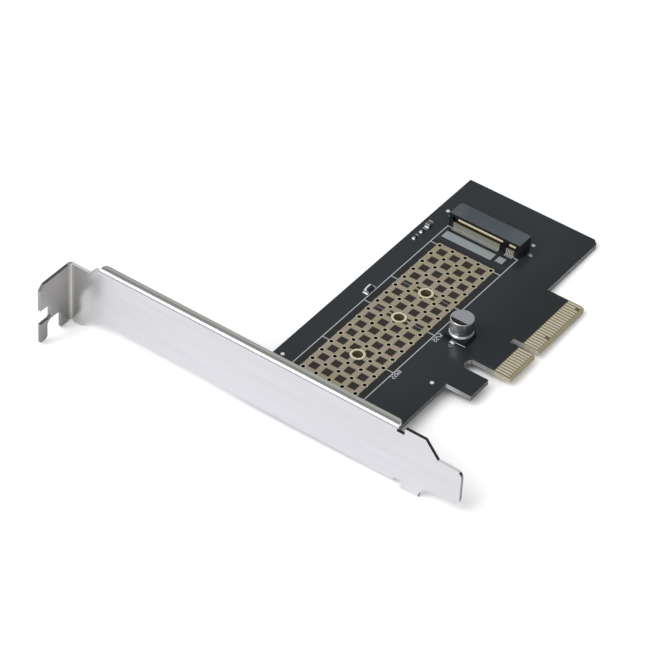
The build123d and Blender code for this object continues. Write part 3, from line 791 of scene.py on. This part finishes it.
# The capacitor is a drawn aluminium can crimped on a rubber bung over a moulded base. A
# black sector printed on its top marks the negative lead.
can_low, can_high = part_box("capacitor_can")
can_x = (can_low[0] + can_high[0]) / 2 / MM
can_y = (can_low[1] + can_high[1]) / 2 / MM
can_top = can_high[2] / MM
can_r = 3.13
rim_r = 0.28
sector_start = 1.42
paint = Paint("can_aluminium")
x, z = paint.place("xz")
nx, ny, nz = paint.facing("xyz")
fine = paint.noise(3.0, 3)
# The side is painted lighter where it faces -x and +y, darker on the far side: painted light and
# shade.
drawn = paint.mix((ny - nx).fade(-0.5, 1.0), (142, 148, 152), (250, 252, 254))
drawn = paint.mix(fine * 0.1, drawn, (204, 208, 210))
on_top = (z > can_top - 0.03) & (nz > 0.5)
brushed = paint.mix(fine, (196, 198, 204), (206, 208, 213))
sector = on_top & (x < can_x - sector_start)
can_paint = paint.finish(
    base_color=paint.mix(sector, paint.mix(on_top, drawn, brushed), (16, 17, 19)),
    metallic=0.9 - sector * 0.9,
    roughness=0.24 + sector * 0.2,
)
foot_roll = [(0, 1.0), (3.05, 1.0), (3.24, 1.06), (3.3, 1.18), (3.28, 1.3), (3.2, 1.44)]
crimp = [(3.09, 1.57), (2.97, 1.68), (2.91, 1.8), (2.92, 1.96), (2.99, 2.14)]
swell = [(3.07, 2.34), (3.12, 2.56), (can_r, 2.8)]
rim_angles = [math.radians(90 * step / 6) for step in range(7)]
rim = [
    (can_r - rim_r + rim_r * math.cos(angle), can_top - rim_r + rim_r * math.sin(angle))
    for angle in rim_angles
]
can = bmesh.new()
lathe(can, (can_x, can_y), foot_roll + crimp + swell + rim + [(0, can_top)], 72)
can_piece = from_bmesh("drawn_can", can, can_paint, smooth=True)
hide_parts("capacitor_can")

paint = Paint("base_plastic")
fine = paint.noise(2.5, 4)
coat("capacitor_base", paint.finish(
    base_color=paint.mix(fine, (18, 19, 21), (28, 29, 31)),
    roughness=0.45 + fine * 0.12,
    normal=paint.bump(fine, 0.015),
))


# The status light is a chip lamp: a laminate base, plated ends, and a block of resin cast
# over the chip. Both are white along the back; in front they are painted dark, a painted shade.
lens_low, lens_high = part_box("status_led_lens")
lens_y = (lens_low[1] + lens_high[1]) / 2 / MM
front_line = lens_y + 0.1
for node_name, finish_name, white_back, dullness, shine in (
    ("status_led_base", "lamp_base", (232, 234, 234), 0.45, 0.5),
    ("status_led_lens", "lamp_resin", (246, 248, 248), 0.16, 0.6),
):
    paint = Paint(finish_name)
    [y] = paint.place("y")
    fine = paint.noise(2.0, 3)
    behind = (y - front_line).fade(0, 0.12)
    dark_front = paint.mix(fine, (38, 40, 43), (48, 50, 54))
    coat(node_name, paint.finish(
        base_color=paint.mix(behind, dark_front, white_back),
        roughness=dullness + fine * 0.1,
        specular_ior_level=shine,
    ))


# The two chip resistors are alumina with a black glaze, the chip capacitor is a fired grey
# ceramic, and all have plated caps that the solder wets.
paint = Paint("black_glaze")
fine = paint.noise(2.5, 3)
coat("resistor_bodies", paint.finish(
    base_color=paint.mix(fine, (22, 23, 25), (34, 35, 38)),
    roughness=0.25 + fine * 0.12,
))
paint = Paint("grey_ceramic")
fine = paint.noise(2.5, 3)
coat("chip_capacitor_body", paint.finish(
    base_color=paint.mix(fine, (84, 82, 82), (104, 102, 102)),
    roughness=0.45 + fine * 0.12,
))


# The bracket is one piece of nickel-plated steel, blanked, then folded: a flange at the top,
# a lip along each side, and two ears that the board is screwed to. Blanked edges are dark, and
# the edge tops at both ends are painted bright: a painted highlight.
flange_x = -58
lip_bend, lip_line, lip_edge = -56.2, -55.5, -54
highlit_ends = (94.9, 103.8), (-15, -5.6)
lip_end = 3.84
narrows_from, neck_start = 92, 99.5
tongue_tip = -8
paint = Paint("nickel_steel")
x, y, z = paint.place("xyz")
nx, ny, nz = paint.facing("xyz")
rolled = paint.noise(0.5, 3, (1, 0.1, 1.2))
broad = paint.noise(0.03, 2)
nickel = paint.mix(rolled.fade(0.2, 0.8), (222, 222, 225), (229, 229, 232))
nickel = paint.mix(broad * 0.3, nickel, (214, 214, 218))
# The lip tops are painted in two tones, darker next to the bend: painted reflection.
lip_nickel = paint.mix(x > lip_line, (191, 191, 187), (236, 235, 230))
nickel = paint.mix((nz > 0.9) & (x > lip_bend), nickel, lip_nickel)
nickel = paint.mix((y - narrows_from).fade(0, 8), nickel, (222, 221, 219))
# The neck is painted darker: a painted reflection of the flange.
nickel = paint.mix((y - neck_start).fade(0, 4) * 0.8, nickel, (204, 203, 201))
# The flange is painted darker, darkest at its lower end: painted shade.
flange_nickel = paint.mix((z + 8).fade(0, 18), (144, 143, 141), (174, 173, 171))
nickel = paint.mix((flange_x + 0.2 - x).fade(0, 0.8), nickel, flange_nickel)
sideways = abs(nx) < 0.3
cut = sideways & (y < lip_end) & (x < lip_edge) | (x < flange_x) & (nz > 0.2)
# The blanked edges are dark, lighter above y 50; the tongue's end face is painted lighter: painted
# light.
cut_colour = paint.mix(y > 50, (44, 44, 46), (92, 92, 90))
cut_colour = paint.mix((ny < -0.9) & (y < tongue_tip), cut_colour, (132, 133, 135))
# The up-facing edge tops at both ends are painted bright: painted highlight.
upper_end, lower_end = [y.between(*reach) for reach in highlit_ends]
edge_highlight = sideways & (nz > 0.8) & (x > flange_x) & (upper_end | lower_end)
coat("mounting_bracket", paint.finish(
    base_color=paint.mix(edge_highlight, paint.mix(cut, nickel, cut_colour), (238, 238, 240)),
    metallic=1.0 - (cut | edge_highlight) * 0.6,
    roughness=0.24 + rolled * 0.03,
    normal=paint.bump(rolled, 0.0015),
))


# Two pan-head machine screws hold the board to the ears, with a cross recess for the driver.
# They are rolled steel, nickel plated.
screw_low, screw_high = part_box("bracket_screws")
screw_x = (screw_low[0] + screw_high[0]) / 2 / MM
head_r = 2.75
paint = Paint("screw_nickel")
fine = paint.noise(2.0, 3)
screw_paint = paint.finish(
    base_color=paint.mix(fine, (188, 189, 192), (206, 207, 210)),
    metallic=1.0,
    roughness=0.26 + fine * 0.1,
)


def cross_reach(angle, arm=1.25, half=0.3):
    """How far a cross-shaped recess goes at an angle, where its arms are arm long."""
    turned = (angle + math.pi / 4) % (math.pi / 2) - math.pi / 4
    if abs(math.tan(turned)) <= half / arm:
        return arm / math.cos(turned)
    return half / abs(math.sin(turned))


thread_pitch = 0.5
thread_r, root_r = 1.45, 1.22
head_steps = 48
point = [(0, -3.67), (1.1, -3.67), (1.4, -3.4)]
thread = []
for thread_turn in range(6):
    height = -3.3 + thread_pitch * thread_turn
    thread += [(root_r, height + 0.12), (thread_r, height + 0.3)]
head = [(thread_r, 0.0), (head_r, 0.0), (head_r, 0.95)]
dome = [(2.68, 1.25), (2.45, 1.55), (2.1, 1.75), (1.6, 1.86)]
recess_profile = [(1.0, 1.88), (0.92, 1.3), (0.6, 1.0), (0, 0.8)]
screws = bmesh.new()
for screw_y in (screw_low[1] / MM + head_r, screw_high[1] / MM - head_r):
    centre = (screw_x, screw_y)
    rim_ring = lathe(screws, centre, point + thread + head + dome, head_steps)[-1]
    recess_ring = lathe(screws, centre, recess_profile, head_steps, cross_reach)[0]
    for i in range(head_steps):
        j = (i + 1) % head_steps
        screws.faces.new((rim_ring[i], rim_ring[j], recess_ring[j], recess_ring[i]))
screw_piece = from_bmesh("pan_head_screws", screws, screw_paint)
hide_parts("bracket_screws")
